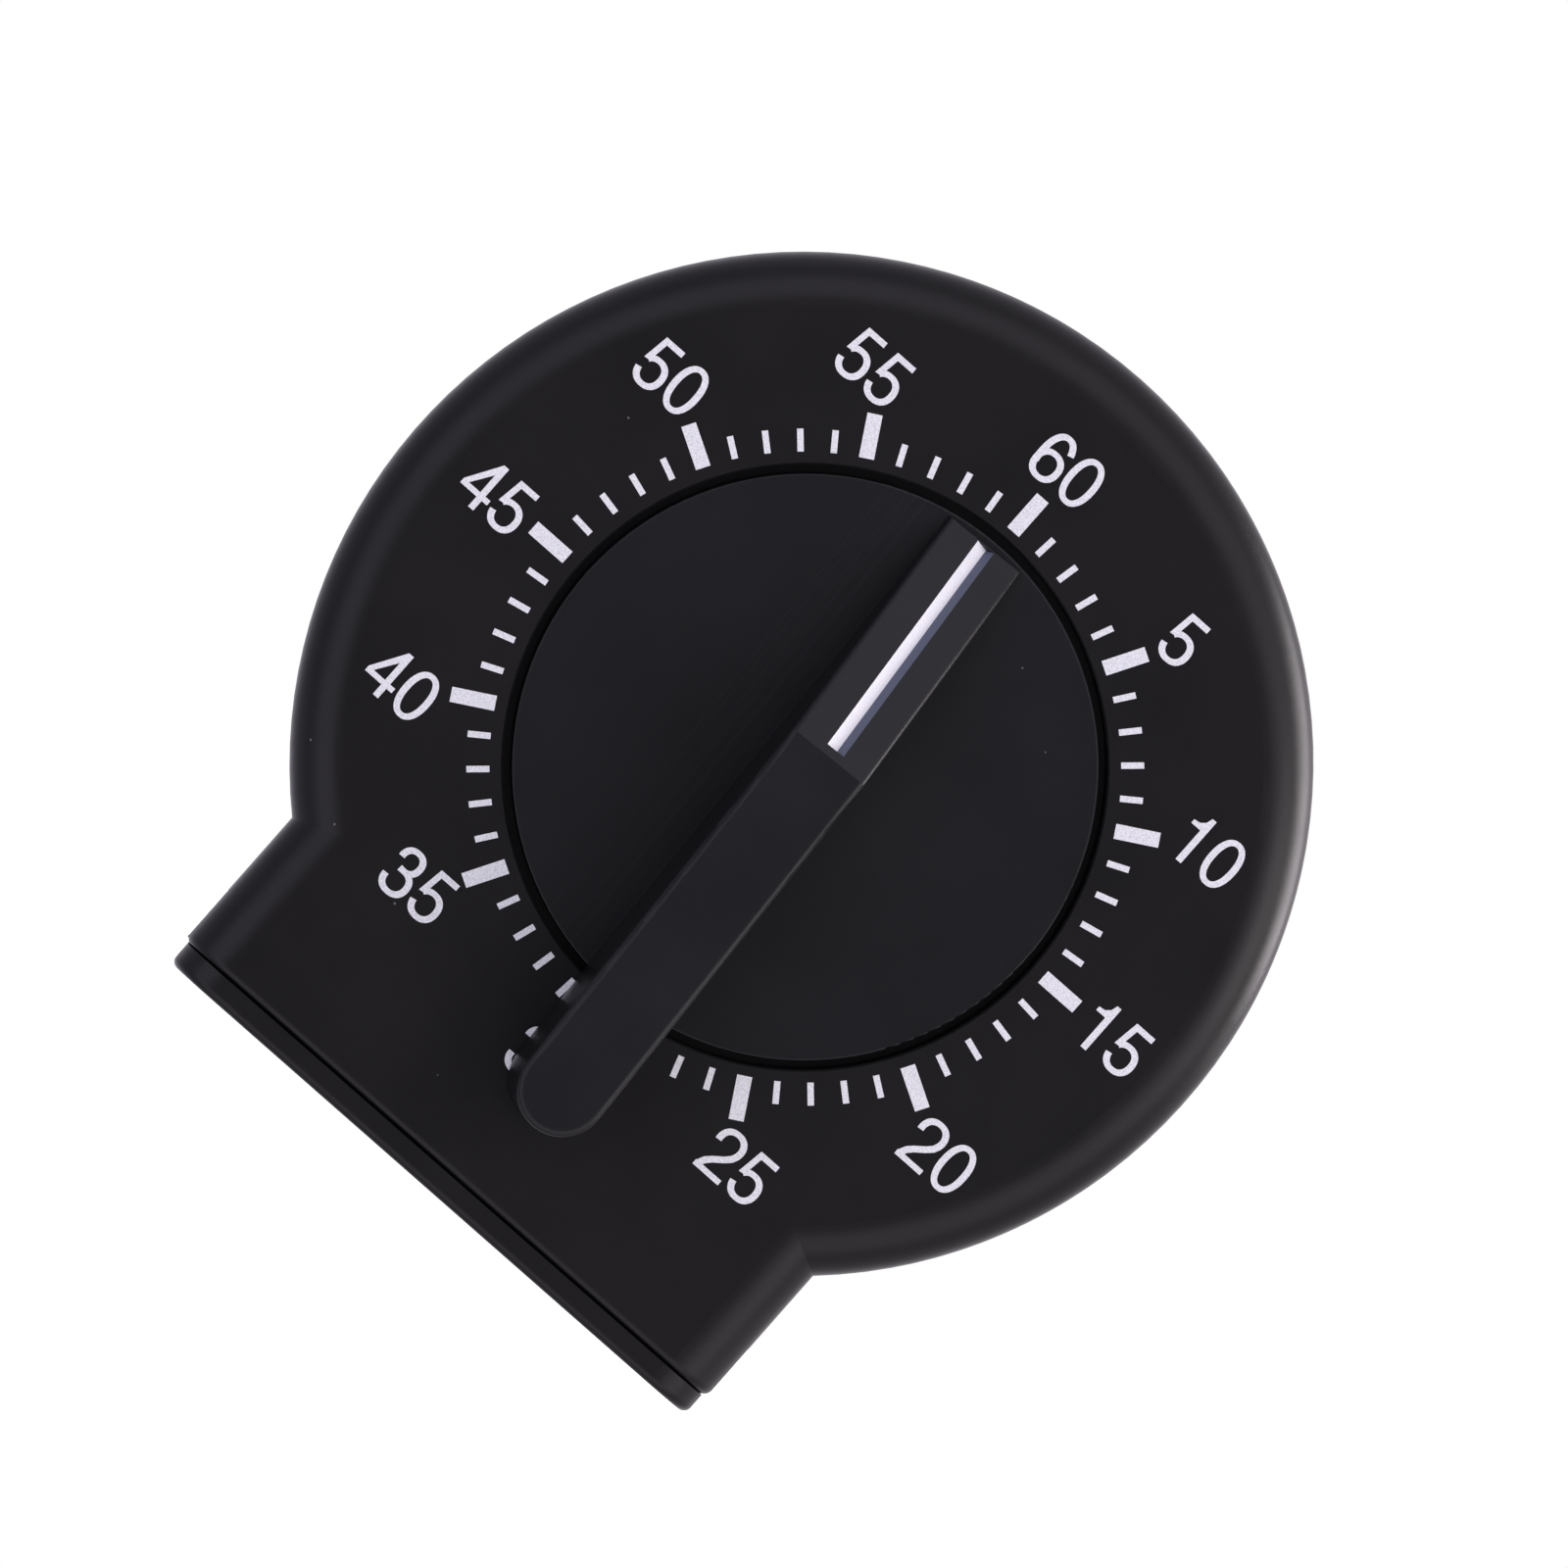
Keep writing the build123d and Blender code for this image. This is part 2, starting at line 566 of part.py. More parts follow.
with BuildPart() as spring_pegs:
    turned([(REAR_PLATE_Y[1], HAIR_Y[1], PEG_R)], HAMMER_PEG)
    turned([(DETENT_HAIR_Y[0], FRONT_PLATE_Y[0], PEG_R)], DETENT_PEG)
save(spring_pegs, "spring_pegs")

# ---------------------------------------------------------------- dial

KNOB_ACROSS = Vector(cos(radians(REST_TURN_DEG)), 0, sin(radians(REST_TURN_DEG)))
KNOB_UP = Vector(-sin(radians(REST_TURN_DEG)), 0, cos(radians(REST_TURN_DEG)))
OUT = Vector(0, -1, 0)
FACE_CENTRE = Vector(0, FACE_Y, DIAL_HEIGHT)
KNOB_PLANE = Plane(origin=FACE_CENTRE, x_dir=KNOB_ACROSS, z_dir=OUT)
BAR_SIDE_PLANE = Plane(origin=FACE_CENTRE, x_dir=KNOB_UP, z_dir=KNOB_ACROSS)
RAMP_SLOPE = (RAMP_H - BAR_NOSE_H) / (BAR_NOSE - RAMP_END)
RAMP_RUN = (KNOB_UP * (BAR_NOSE - RAMP_END) - OUT * (RAMP_H - BAR_NOSE_H))
RAMP_START = FACE_CENTRE + KNOB_UP * RAMP_END + OUT * RAMP_H
RAMP_PLANE = Plane(origin=RAMP_START, x_dir=KNOB_ACROSS, z_dir=KNOB_ACROSS.cross(RAMP_RUN))
LINE_START = 0.8
LINE_END = RAMP_RUN.length - 0.1
LINE_MIDDLE = (LINE_SHIFT, (LINE_START + LINE_END) / 2)
CUT_TOP = TAIL_H + 4.0


def pointer_outline():
    with Locations(LINE_MIDDLE):
        Rectangle(LINE_W, LINE_END - LINE_START)


with BuildPart() as dial_knob:
    with BuildSketch(KNOB_PLANE):
        Circle(KNOB_R)
    extrude(amount=-KNOB_T)
    fillet(dial_knob.edges().sort_by(Axis.Y)[0], EDGE_BREAK)
    with BuildSketch(KNOB_PLANE):
        tail_centre = TAIL_END + BAR_W / 2
        with Locations((0, (BAR_NOSE + tail_centre) / 2)):
            Rectangle(BAR_W, BAR_NOSE - tail_centre)
        with Locations((0, tail_centre)):
            Circle(BAR_W / 2)
    extrude(amount=CUT_TOP - THROUGH)
    with BuildSketch(BAR_SIDE_PLANE):
        with BuildLine():
            ramp = Line((BAR_NOSE + THROUGH, BAR_NOSE_H - RAMP_SLOPE * THROUGH), (RAMP_END, RAMP_H))
            tail = ThreePointArc(ramp @ 1, (TAIL_END / 2, TAIL_MID_H), (TAIL_END - THROUGH, TAIL_H))
            Polyline(tail @ 1, (TAIL_END - THROUGH, CUT_TOP), (BAR_NOSE + THROUGH, CUT_TOP), ramp @ 0)
        make_face()
        with Locations((TAIL_END - THROUGH, 0)):
            Rectangle(-TAIL_END - KNOB_R + THROUGH, TAIL_LIFT, align=(Align.MIN, Align.MIN))
    extrude(amount=BAR_W, both=True, mode=Mode.SUBTRACT)
    tail_top = dial_knob.faces().filter_by(GeomType.CYLINDER).sort_by(Axis.Y)[0]
    crest, tail_edges = tail_top.edges().sort_by(Axis.Z)[-1], tail_top.edges().sort_by(Axis.Z)[:-1]
    ramp_top = [face for face in dial_knob.faces().filter_by(GeomType.PLANE) if crest in face.edges()][0]
    ramp_edges = [edge for edge in ramp_top.edges() if edge.length > RAMP_RUN.length / 2]
    fillet(tail_edges + ramp_edges, BAR_EDGE_R)
    turned([(FACE_Y + KNOB_T - JOIN, HUB_BACK_Y, HUB_R)])
    turned([(BUSH_FRONT_Y, HUB_BACK_Y, BUSH_R + PRESS)], mode=Mode.SUBTRACT)
    with BuildSketch(RAMP_PLANE):
        pointer_outline()
    extrude(amount=-LINE_SUNK, mode=Mode.SUBTRACT)
save(dial_knob, "dial_knob")

with BuildPart() as pointer_line:
    with BuildSketch(RAMP_PLANE):
        pointer_outline()
    extrude(amount=-LINE_SUNK)
    fold_plane = Plane(origin=RAMP_START, x_dir=KNOB_ACROSS, z_dir=RAMP_RUN)
    with BuildSketch(fold_plane):
        Polygon(
            (LINE_SHIFT - LINE_W / 2, 0), (LINE_SHIFT + LINE_W / 2, 0),
            (LINE_SHIFT + LINE_FOLD, LINE_FOLD_DEPTH), align=None,
        )
    extrude(amount=RAMP_RUN.length, mode=Mode.SUBTRACT)
save(pointer_line, "pointer_line")

with BuildPart() as knob_bush:
    turned([(BUSH_FRONT_Y, HUB_BACK_Y, BUSH_R)])
    turned([(BUSH_FLOOR_Y, HUB_BACK_Y, ARBOR_R + PRESS)], mode=Mode.SUBTRACT)
save(knob_bush, "knob_bush")

with BuildPart() as main_arbor:
    turned([
        (BUSH_FLOOR_Y + RUN, ARBOR_COLLAR_Y[0], ARBOR_R), (*ARBOR_COLLAR_Y, COLLAR_R),
        (ARBOR_COLLAR_Y[1], REAR_SHOULDER_Y, ARBOR_R), (REAR_SHOULDER_Y, ARBOR_BACK_Y, REAR_ARBOR_R),
    ])
save(main_arbor, "main_arbor")

with BuildPart() as arbor_clip:
    turned([(*CLIP_Y, CLIP_R)])
    drill(CLIP_Y, ARBOR_R + PRESS, [CENTRE])
    cut_slots(facing(CLIP_Y[1]), [(0, -CLIP_R)], *CLIP_MOUTH, CLIP_Y[1] - CLIP_Y[0])
save(arbor_clip, "arbor_clip")

with BuildPart() as zero_cam:
    turned([(*CAM_Y, CAM_R)])
    drill(CAM_Y, ARBOR_R + PRESS, [CENTRE])
    with BuildSketch(facing(CAM_Y[1])):
        with Locations(step_from(CENTRE, CAM_R, DETENT_ANGLE)):
            Circle(CAM_NOTCH_R)
    extrude(amount=CAM_Y[1] - CAM_Y[0], mode=Mode.SUBTRACT)
save(zero_cam, "zero_cam")

with BuildPart() as ratchet_wheel:
    flat_ring(RATCHET_Y, saw_teeth(RATCHET_TEETH, RATCHET_R, RATCHET_ROOT_R), CENTRE, ARBOR_R + PRESS)
save(ratchet_wheel, "ratchet_wheel")

# ---------------------------------------------------------------- train

CLICK_ANGLE = 300
CLICK_PIVOT = step_from(CENTRE, 8.5, CLICK_ANGLE + 35)
CLICK_NOSE = step_from(CENTRE, 4.75, CLICK_ANGLE + 6)
CLICK_SPRING_FOOT = step_from(CENTRE, 10.6, CLICK_ANGLE - 6)
CLICK_SPRING_TIP = step_from(CENTRE, 6.35, CLICK_ANGLE + 12)
CLICK_SPRING_Y = (RATCHET_Y[0] + 0.1, RATCHET_Y[1] - 0.1)
CLICK_R = 1.3
CLICK_NOSE_R = 0.35
CLICK_RIVET_R = 0.6
CLICK_RIVET_HEAD = (1.1, 0.25)
MAIN_WINDOWS = [step_from(CENTRE, 8.2, a) for a in (45, 105, 165, 225)]
MAIN_WINDOW_R = 2.6
SECOND_WINDOWS = (4, 2.6, 5.3)
THIRD_WINDOWS = (4, 2.4, 4.9)
ESCAPE_WINDOWS = (3, 1.0, 2.7)
ESCAPE_ROOT_R = 4.4
MESH_TURN_MAIN = SECOND_ANGLE + 180 / MAIN_TEETH
MESH_TURN_SECOND = THIRD_ANGLE + 180 / SECOND_TEETH
MESH_TURN_THIRD = ESCAPE_ANGLE + 180 / THIRD_TEETH

with BuildPart() as main_wheel:
    flat_ring(MAIN_WHEEL_Y, wheel_teeth(MAIN_TEETH, MAIN_MODULE, MESH_TURN_MAIN), CENTRE, ARBOR_R + RUN)
    drill(MAIN_WHEEL_Y, CLICK_RIVET_R + PRESS, [CLICK_PIVOT])
    drill(MAIN_WHEEL_Y, MAIN_WINDOW_R, MAIN_WINDOWS)
save(main_wheel, "main_wheel")

with BuildPart() as click:
    lever(RATCHET_Y, [(CLICK_NOSE, CLICK_NOSE_R), (CLICK_PIVOT, CLICK_R)], CLICK_PIVOT, CLICK_RIVET_R + PRESS)
save(click, "click")

with BuildPart() as click_rivet:
    turned([(MAIN_WHEEL_Y[0], RATCHET_Y[1], CLICK_RIVET_R)], CLICK_PIVOT)
    turned([(RATCHET_Y[1], RATCHET_Y[1] + CLICK_RIVET_HEAD[1], CLICK_RIVET_HEAD[0])], CLICK_PIVOT)
save(click_rivet, "click_rivet")

with BuildPart() as click_spring:
    with BuildSketch(facing(CLICK_SPRING_Y[1])):
        arm(CLICK_SPRING_FOOT, WIRE_R, CLICK_SPRING_TIP, WIRE_R)
    extrude(amount=CLICK_SPRING_Y[1] - CLICK_SPRING_Y[0])
    turned([(MAIN_WHEEL_Y[1], CLICK_SPRING_Y[1], CLICK_RIVET_R)], CLICK_SPRING_FOOT)
save(click_spring, "click_spring")

with BuildPart() as second_pinion:
    pinion(SECOND_PINION_Y, pinion_leaves(SECOND_LEAVES, MAIN_MODULE, SECOND_ANGLE + 180), SECOND)
    staff(SECOND, (HAMMER_Y[1], STRIKE_ARBOR_R))
save(second_pinion, "second_pinion")

with BuildPart() as second_wheel:
    teeth = wheel_teeth(SECOND_TEETH, SECOND_MODULE, MESH_TURN_SECOND)
    flat_ring(SECOND_WHEEL_Y, teeth, SECOND, STAFF_R + PRESS, *SECOND_WINDOWS)
save(second_wheel, "second_wheel")

with BuildPart() as strike_wheel:
    points = tooth_ring(STAR_POINTS, STAR_ROOT_R, [0.7, (STAR_R, 0.25)])
    flat_ring(HAMMER_Y, points, SECOND, STRIKE_ARBOR_R + PRESS)
save(strike_wheel, "strike_wheel")

with BuildPart() as third_pinion:
    pinion(THIRD_PINION_Y, pinion_leaves(THIRD_LEAVES, SECOND_MODULE, THIRD_ANGLE + 180), THIRD)
    staff(THIRD)
save(third_pinion, "third_pinion")

with BuildPart() as third_wheel:
    teeth = wheel_teeth(THIRD_TEETH, THIRD_MODULE, MESH_TURN_THIRD)
    flat_ring(THIRD_WHEEL_Y, teeth, THIRD, STAFF_R + PRESS, *THIRD_WINDOWS)
save(third_wheel, "third_wheel")

with BuildPart() as escape_pinion:
    pinion(ESCAPE_PINION_Y, pinion_leaves(ESCAPE_LEAVES, THIRD_MODULE, ESCAPE_ANGLE + 180), ESCAPE)
    staff(ESCAPE)
save(escape_pinion, "escape_pinion")

with BuildPart() as escape_wheel:
    teeth = saw_teeth(ESCAPE_TEETH, ESCAPE_R, ESCAPE_ROOT_R)
    flat_ring(SECOND_WHEEL_Y, teeth, ESCAPE, STAFF_R + PRESS, *ESCAPE_WINDOWS)
save(escape_wheel, "escape_wheel")

PALLET_REACH = 7.4
PALLET_SPREAD = 45
PALLET_R = 0.5
PALLETS = [step_from(ESCAPE, PALLET_REACH, VERGE_ANGLE + side * PALLET_SPREAD) for side in (1, -1)]
LEVER_BOSS_R = 1.5
BALANCE_R = 6.5
BALANCE_RIM = 1.5
BALANCE_HUB_R = 1.6
BALANCE_ARM_W = 1.2

with BuildPart() as verge_staff:
    staff(VERGE)
save(verge_staff, "verge_staff")

with BuildPart() as pallet_lever:
    ends = [(PALLETS[0], PALLET_R), (VERGE, LEVER_BOSS_R), (PALLETS[1], PALLET_R)]
    lever(SECOND_WHEEL_Y, ends, VERGE, STAFF_R + PRESS)
save(pallet_lever, "pallet_lever")

with BuildPart() as balance_wheel:
    with BuildSketch(facing(BALANCE_Y[1])):
        with Locations(VERGE):
            Circle(BALANCE_R)
            Circle(BALANCE_R - BALANCE_RIM, mode=Mode.SUBTRACT)
            Circle(BALANCE_HUB_R)
            Rectangle(2 * BALANCE_R - BALANCE_RIM, BALANCE_ARM_W)
            Circle(STAFF_R + PRESS, mode=Mode.SUBTRACT)
    extrude(amount=BALANCE_Y[1] - BALANCE_Y[0])
save(balance_wheel, "balance_wheel")

# ---------------------------------------------------------------- bell and levers

BELL_CENTRE = (BELL_POST[0], 0, DIAL_HEIGHT + BELL_POST[1])

with BuildPart() as bell:
    with BuildSketch(Plane(origin=BELL_CENTRE, x_dir=(1, 0, 0), z_dir=(0, 0, 1))):
        inner_r, hole_r = BELL_R - BELL_WALL, SHANK_R + PRESS
        ceiling_y, turn_y = BELL_ROOF_Y - BELL_WALL, BELL_ROOF_Y - BELL_TURN_R
        with BuildLine():
            wall = Polyline((BELL_R, turn_y), (BELL_R, BELL_RIM_Y), (inner_r, BELL_RIM_Y), (inner_r, turn_y))
            inner_turn = TangentArc(wall @ 1, (BELL_R - BELL_TURN_R, ceiling_y), tangent=(0, 1))
            roof = Polyline(
                inner_turn @ 1, (hole_r, ceiling_y), (hole_r, BELL_ROOF_Y), (BELL_R - BELL_TURN_R, BELL_ROOF_Y),
            )
            TangentArc(wall @ 0, roof @ 1, tangent=(0, 1))
        make_face()
    revolve(axis=Axis(BELL_CENTRE, (0, 1, 0)))
save(bell, "bell")

BELL_POST_R = 2.2
BELL_SCREW_HEAD = (2.6, 0.6)
BELL_SCREW_L = 4.0
BELL_SCREW_SLOT = (4.0, 0.6, 0.35)
POST_R = 1.4
LEVER_END_GAP = 0.1
CAP_R = 1.5
CAP_T = 0.3
HAMMER_HUB_R = 1.8
HAMMER_TIP_R = 1.0
HEAD_L = 2.4
STRIKER_R = 1.9
DETENT_HUB_R = 1.8
DETENT_NOSE_R = 0.6

with BuildPart() as bell_post:
    turned([(REAR_PLATE_Y[1], BELL_ROOF_Y - BELL_WALL, BELL_POST_R)], BELL_POST)
    drill((REAR_PLATE_Y[1] + THROUGH, BELL_ROOF_Y - BELL_WALL), THREAD_R, [BELL_POST])
save(bell_post, "bell_post")

with BuildPart() as bell_screw:
    head_r, head_t = BELL_SCREW_HEAD
    head_back_y = BELL_ROOF_Y + head_t
    turned([(BELL_ROOF_Y - BELL_SCREW_L, BELL_ROOF_Y, SHANK_R), (BELL_ROOF_Y, head_back_y, head_r)], BELL_POST)
    cut_slots(facing(head_back_y), [BELL_POST], *BELL_SCREW_SLOT)
save(bell_screw, "bell_screw")

with BuildPart() as hammer_post:
    low, high = HAMMER_Y[0] - LEVER_END_GAP, HAMMER_Y[1] + LEVER_END_GAP
    turned([(REAR_PLATE_Y[1], low, POST_R), (low, high, THREAD_R), (high, high + CAP_T, CAP_R)], HAMMER_PIVOT)
save(hammer_post, "hammer_post")

with BuildPart() as hammer_arm:
    lever(HAMMER_Y, [(HAMMER_PIVOT, HAMMER_HUB_R), (HAMMER_TIP, HAMMER_TIP_R)], HAMMER_PIVOT, THREAD_R + RUN)
save(hammer_arm, "hammer_arm")

with BuildPart() as hammer_head:
    turned([(HAMMER_Y[1], HAMMER_Y[1] + HEAD_L, STRIKER_R)], HAMMER_TIP)
save(hammer_head, "hammer_head")

with BuildPart() as hammer_spring:
    coiled_strip(HAIR_Y, *HAIR_COIL, HAIR_T, HAMMER_PIVOT, HAMMER_HAIR_TURN)
save(hammer_spring, "hammer_spring")

with BuildPart() as detent_post:
    low, high = CAM_Y[0] - LEVER_END_GAP, CAM_Y[1] + LEVER_END_GAP
    turned([(low - CAP_T, low, CAP_R), (low, high, THREAD_R), (high, FRONT_PLATE_Y[0], POST_R)], DETENT_PIVOT)
save(detent_post, "detent_post")

with BuildPart() as detent_lever:
    lever(CAM_Y, [(DETENT_NOSE, DETENT_NOSE_R), (DETENT_PIVOT, DETENT_HUB_R)], DETENT_PIVOT, THREAD_R + RUN)
save(detent_lever, "detent_lever")

with BuildPart() as detent_spring:
    coiled_strip(DETENT_HAIR_Y, *HAIR_COIL, HAIR_T, DETENT_PIVOT, DETENT_HAIR_TURN)
save(detent_spring, "detent_spring")
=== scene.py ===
import json
import math
import bmesh
import bpy
from mathutils import Matrix, Vector


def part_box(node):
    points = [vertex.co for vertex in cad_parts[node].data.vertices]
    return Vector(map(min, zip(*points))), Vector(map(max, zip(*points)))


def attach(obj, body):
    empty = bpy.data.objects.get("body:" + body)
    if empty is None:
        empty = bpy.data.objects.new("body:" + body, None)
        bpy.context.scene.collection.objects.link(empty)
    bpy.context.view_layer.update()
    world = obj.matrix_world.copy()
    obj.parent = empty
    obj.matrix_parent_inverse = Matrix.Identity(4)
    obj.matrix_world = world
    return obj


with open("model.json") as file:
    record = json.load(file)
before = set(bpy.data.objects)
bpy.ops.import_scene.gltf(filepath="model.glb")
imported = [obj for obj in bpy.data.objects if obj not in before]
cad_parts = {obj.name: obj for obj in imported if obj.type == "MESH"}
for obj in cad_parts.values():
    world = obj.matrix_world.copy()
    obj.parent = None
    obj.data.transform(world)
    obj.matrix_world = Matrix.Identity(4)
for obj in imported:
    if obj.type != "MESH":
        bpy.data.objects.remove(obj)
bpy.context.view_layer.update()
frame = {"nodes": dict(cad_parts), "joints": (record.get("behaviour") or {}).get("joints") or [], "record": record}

MM = 0.001
NODES = frame["nodes"]

# ---------------------------------------------------------------- places from the frame

shell_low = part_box("front_shell")[0]
JOINT_POS = {joint["name"]: Vector(joint["pos_m"]) for joint in frame["joints"]}
FACE_Y = shell_low.y
DIAL = Vector((0, FACE_Y, JOINT_POS["dial_turn"].z))

# ---------------------------------------------------------------- node helpers


def new_material(name):
    """A material with an empty Principled shader, and its tree."""
    material = bpy.data.materials.new(name)
    material.use_nodes = True
    tree = material.node_tree
    tree.nodes.clear()
    shader = tree.nodes.new("ShaderNodeBsdfPrincipled")
    output = tree.nodes.new("ShaderNodeOutputMaterial")
    tree.links.new(shader.outputs["BSDF"], output.inputs["Surface"])
    return material, tree, shader


def object_space(tree):
    """The object's own coordinates, in metres."""
    return tree.nodes.new("ShaderNodeTexCoord").outputs["Object"]


def stretched(tree, vector, scale):
    """A vector scaled by a different factor along each axis."""
    mapping = tree.nodes.new("ShaderNodeMapping")
    mapping.inputs["Scale"].default_value = scale
    tree.links.new(vector, mapping.inputs["Vector"])
    return mapping.outputs["Vector"]


def noise(tree, vector, size, detail=2.0, roughness=0.5):
    """Noise whose lumps are about size metres across."""
    node = tree.nodes.new("ShaderNodeTexNoise")
    node.inputs["Scale"].default_value = 1.0 / size
    node.inputs["Detail"].default_value = detail
    node.inputs["Roughness"].default_value = roughness
    tree.links.new(vector, node.inputs["Vector"])
    return node.outputs["Fac"]


def ranged(tree, value, low, high, to_low, to_high):
    """A value mapped from one range to another, clamped."""
    node = tree.nodes.new("ShaderNodeMapRange")
    bounds = {"From Min": low, "From Max": high, "To Min": to_low, "To Max": to_high}
    for name, number in bounds.items():
        node.inputs[name].default_value = number
    tree.links.new(value, node.inputs["Value"])
    return node.outputs["Result"]


def mixed(tree, factor, low_colour, high_colour):
    """A colour between two, by a factor. A colour is a tuple or a socket."""
    node = tree.nodes.new("ShaderNodeMix")
    node.data_type = "RGBA"
    tree.links.new(factor, node.inputs["Factor"])
    for socket, colour in (("A", low_colour), ("B", high_colour)):
        target = [s for s in node.inputs if s.name == socket and s.type == "RGBA"][0]
        if isinstance(colour, tuple):
            target.default_value = (*colour, 1.0)
        else:
            tree.links.new(colour, target)
    return [s for s in node.outputs if s.type == "RGBA"][0]


def math_node(tree, operation, first, second):
    """One Math node. An operand is a number or a socket."""
    node = tree.nodes.new("ShaderNodeMath")
    node.operation = operation
    for slot, operand in enumerate((first, second)):
        if isinstance(operand, (int, float)):
            node.inputs[slot].default_value = operand
        else:
            tree.links.new(operand, node.inputs[slot])
    return node.outputs[0]


def bumped(tree, shader, height, depth, strength=1.0):
    """Bump of the given depth in metres."""
    node = tree.nodes.new("ShaderNodeBump")
    node.inputs["Distance"].default_value = depth
    node.inputs["Strength"].default_value = strength
    tree.links.new(height, node.inputs["Height"])
    tree.links.new(node.outputs["Normal"], shader.inputs["Normal"])


def specks(tree, vector, spacing, size, share):
    """1 on round specks, 0 elsewhere. The given share of a grid's cells holds one each."""
    cells = tree.nodes.new("ShaderNodeTexVoronoi")
    cells.inputs["Scale"].default_value = 1.0 / spacing
    tree.links.new(vector, cells.inputs["Vector"])
    near = math_node(tree, "LESS_THAN", cells.outputs["Distance"], size / spacing)
    channels = tree.nodes.new("ShaderNodeSeparateColor")
    tree.links.new(cells.outputs["Color"], channels.inputs["Color"])
    chosen = math_node(tree, "LESS_THAN", channels.outputs["Red"], share)
    return math_node(tree, "MULTIPLY", near, chosen)


# ---------------------------------------------------------------- materials

# How far the grip bar stands off upright at rest, in degrees anticlockwise.
REST_TURN = 2.5
STREAK_WIDTH = 0.5 * MM
STREAK_FADE = 1.5 * MM
# Painted light: the lighter colour of the streaks painted over the grip bar's shadow on the knob.
PAINTED_LIGHT_STREAK_COLOUR = (0.0155, 0.0155, 0.0175)
# The band where lighter streaks are painted as light over the grip bar's shadow, as distances to the right of the
# bar's long axis.
KNOB_PAINTED_LIGHT_BAND = (-9.5 * MM, -4.2 * MM)
DUST_SPACING = 1.9 * MM
DUST_SIZE = 0.1 * MM
DUST_COLOUR = (0.11, 0.115, 0.125)
PLASTIC_IOR = 1.46
PLASTIC_SPECULAR = 0.3
PLASTIC_UNEVENNESS = 0.035
PAINT_GRAIN = 0.16 * MM
PAINT_RELIEF = 0.006 * MM
# Painted shade on the groove's steeper flank goes from full to none as the X of the surface normal goes from the
# first to the second.
SHADED_FLANK_X = (-0.4, -0.3)


def flow_marks(tree, place, band):
    """Painted light: faint lighter streaks beside the grip bar and along it, in a band left of the dial's centre,
    where the bar's shadow falls.
    """
    turn = math.radians(REST_TURN)
    across = tree.nodes.new("ShaderNodeVectorMath")
    across.operation = "DOT_PRODUCT"
    across.inputs[1].default_value = (math.cos(turn), 0.0, math.sin(turn))
    tree.links.new(place, across.inputs[0])
    side = math_node(tree, "SUBTRACT", across.outputs["Value"], DIAL.z * math.sin(turn))
    line = tree.nodes.new("ShaderNodeCombineXYZ")
    tree.links.new(side, line.inputs["X"])
    streaks = ranged(tree, noise(tree, line.outputs[0], STREAK_WIDTH, 3.0, 0.7), 0.5, 0.75, 0.0, 1.0)
    far, near = band
    rising = ranged(tree, side, far, far + STREAK_FADE, 0.0, 1.0)
    falling = ranged(tree, side, near - STREAK_FADE, near, 1.0, 0.0)
    return math_node(tree, "MULTIPLY", streaks, math_node(tree, "MULTIPLY", rising, falling))


def moulded_plastic(
        name, colour, light_colour, roughness, grain, grain_depth, speck_share, painted_light_band=None):
    """Black moulded plastic: fine grain, faint clouds, a few dust specks, and lighter streaks in the given band,
    painted as light over the grip bar's shadow.
    """
    material, tree, shader = new_material(name)
    place = object_space(tree)
    clouds = noise(tree, place, 14 * MM, 3.0)
    fine = noise(tree, place, grain, 3.0, 0.6)
    body = mixed(tree, ranged(tree, clouds, 0.35, 0.7, 0.0, 1.0), colour, light_colour)
    if painted_light_band:
        # Painted light: lighter streaks over the grip bar's shadow.
        body = mixed(tree, flow_marks(tree, place, painted_light_band), body, PAINTED_LIGHT_STREAK_COLOUR)
    dust = specks(tree, place, DUST_SPACING, DUST_SIZE, speck_share)
    tree.links.new(mixed(tree, dust, body, DUST_COLOUR), shader.inputs["Base Color"])
    handled = noise(tree, place, 9 * MM, 4.0, 0.6)
    smooth, coarse = roughness - PLASTIC_UNEVENNESS, roughness + PLASTIC_UNEVENNESS
    rough = ranged(tree, handled, 0.3, 0.7, smooth, coarse)
    tree.links.new(rough, shader.inputs["Roughness"])
    shader.inputs["IOR"].default_value = PLASTIC_IOR
    shader.inputs["Specular IOR Level"].default_value = PLASTIC_SPECULAR
    bumped(tree, shader, fine, grain_depth, 0.6)
    return material


def white_coat(tree, shader, place, colour, worn_colour, rough, smooth):
    """Sets an uneven white coat's roughness and bump, and gives its colour."""
    cover = noise(tree, place, PAINT_GRAIN, 4.0, 0.7)
    tree.links.new(ranged(tree, cover, 0.3, 0.7, rough, smooth), shader.inputs["Roughness"])
    bumped(tree, shader, cover, PAINT_RELIEF, 0.5)
    return mixed(tree, ranged(tree, cover, 0.36, 0.6, 0.0, 1.0), worn_colour, colour)


def printed_ink(name, colour, worn_colour):
    """White pad print with slightly uneven cover."""
    material, tree, shader = new_material(name)
    coat = white_coat(tree, shader, object_space(tree), colour, worn_colour, 0.55, 0.42)
    tree.links.new(coat, shader.inputs["Base Color"])
    return material


def inlay_paint(name, colour, worn_colour, shaded_flank_colour):
    """White paint in a folded groove, with painted shade on the steeper flank, which faces -X."""
    material, tree, shader = new_material(name)
    coordinates = tree.nodes.new("ShaderNodeTexCoord")
    coat = white_coat(tree, shader, coordinates.outputs["Object"], colour, worn_colour, 0.5, 0.38)
    facing = tree.nodes.new("ShaderNodeSeparateXYZ")
    tree.links.new(coordinates.outputs["Normal"], facing.inputs[0])
    # Painted shade: the flank facing -X is darkened by the direction of its normal.
    flank_shade = ranged(tree, facing.outputs["X"], *SHADED_FLANK_X, 1.0, 0.0)
    tree.links.new(mixed(tree, flank_shade, coat, shaded_flank_colour), shader.inputs["Base Color"])
    return material


